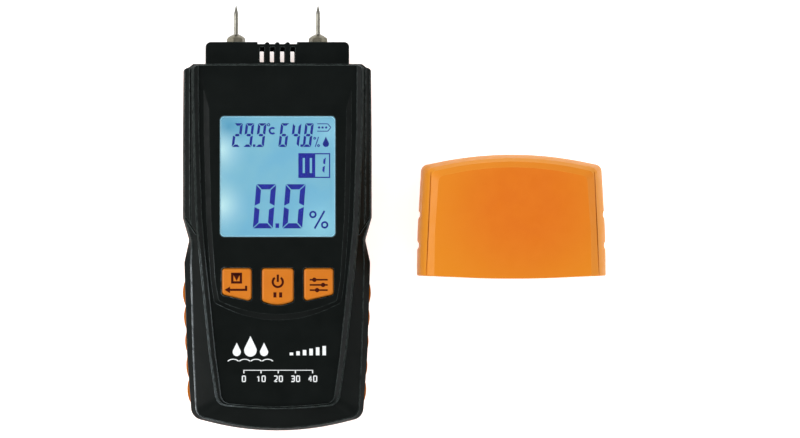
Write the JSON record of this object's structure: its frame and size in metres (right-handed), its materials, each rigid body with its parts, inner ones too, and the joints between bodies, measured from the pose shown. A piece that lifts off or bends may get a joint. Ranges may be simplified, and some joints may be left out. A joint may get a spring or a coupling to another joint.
{
  "type": "moisture meter",
  "caption": "Hand-held two-pin moisture meter with a backlit display and soft keys, its orange pin cap taken off and laid beside it.",
  "frame": {"origin": "on the flat back face, under the middle of the casing's length and width", "axes": "+Z out of the display, +Y towards the electrode pins, +X towards the pin cap that lies beside the meter"},
  "size_m": [0.1555, 0.1561, 0.0335],
  "materials": {
    "casing_black": "fine moulded texture, satin",
    "casing_orange": "fine moulded texture, satin",
    "cap_orange": "smooth satin",
    "key_orange": "soft satin with printed legend",
    "window_clear": "clear polished",
    "gasket_foam": "matt foam",
    "lcd_lit": "lit display, printed segments",
    "holder_white": "moulded",
    "diffuser_milky": "milky",
    "led_body": "moulded",
    "zebra_rubber": "striped silicone",
    "board_green": "solder mask",
    "chip_black": "moulded",
    "component_tan": "plain",
    "can_steel": "drawn",
    "silicone_grey": "moulded silicone",
    "contact_gold": "plated",
    "pin_nickel": "ground and nickel plated",
    "collar_nickel": "turned and nickel plated",
    "socket_brass": "turned",
    "tinned_steel": "tinned",
    "lead_red": "insulation",
    "lead_black": "insulation",
    "cell_sleeve": "shrunk sleeve",
    "foam_grey": "open foam",
    "screw_black": "blackened steel"
  },
  "bodies": {
    "housing": {"front_shell": "casing_black", "rear_shell": "casing_orange", "display_window": "window_clear", "window_gasket": "gasket_foam", "lcd_glass": "lcd_lit", "lcd_holder": "holder_white", "backlight_diffuser": "diffuser_milky", "backlight_leds": "led_body", "zebra_connectors": "zebra_rubber", "keypad_mat": "silicone_grey", "contact_pads": "contact_gold", "main_board": "board_green", "microcontroller": "chip_black", "board_components": "component_tan", "crystal": "can_steel", "buzzer": "chip_black", "sensor_board": "board_green", "humidity_sensor": "holder_white", "sensor_ribbon": "lead_black", "left_pin": "pin_nickel", "right_pin": "pin_nickel", "pin_collars": "collar_nickel", "pin_sockets": "socket_brass", "solder_lugs": "tinned_steel", "left_electrode_lead": "lead_red", "right_electrode_lead": "lead_black", "battery_cells": "cell_sleeve", "battery_springs": "tinned_steel", "battery_contacts": "tinned_steel", "battery_leads": "lead_red", "case_screws": "screw_black", "board_screws": "tinned_steel"},
    "enter_key": {"enter_key": "key_orange"},
    "power_key": {"power_key": "key_orange"},
    "set_key": {"set_key": "key_orange"},
    "battery_door": {"battery_door": "casing_orange", "door_foam_pad": "foam_grey"},
    "pin_cap": {"pin_cap": "cap_orange"}
  },
  "joints": [
    {"name": "enter_key_press", "type": "slide", "parent": "housing", "child": "enter_key", "axis": [0, 0, -1], "range_m": [0, 0.0008], "stiffness_N_per_m": 2500, "springref_m": -0.0002},
    {"name": "power_key_press", "type": "slide", "parent": "housing", "child": "power_key", "axis": [0, 0, -1], "range_m": [0, 0.0008], "stiffness_N_per_m": 2500, "springref_m": -0.0002},
    {"name": "set_key_press", "type": "slide", "parent": "housing", "child": "set_key", "axis": [0, 0, -1], "range_m": [0, 0.0008], "stiffness_N_per_m": 2500, "springref_m": -0.0002},
    {"name": "battery_door_slide", "type": "slide", "parent": "housing", "child": "battery_door", "axis": [0, -1, 0], "range_m": [0, 0.02]},
    {"name": "pin_cap_pull", "type": "slide", "parent": "housing", "child": "pin_cap", "axis": [0, 1, 0], "range_m": [0, 0.045]}
  ]
}
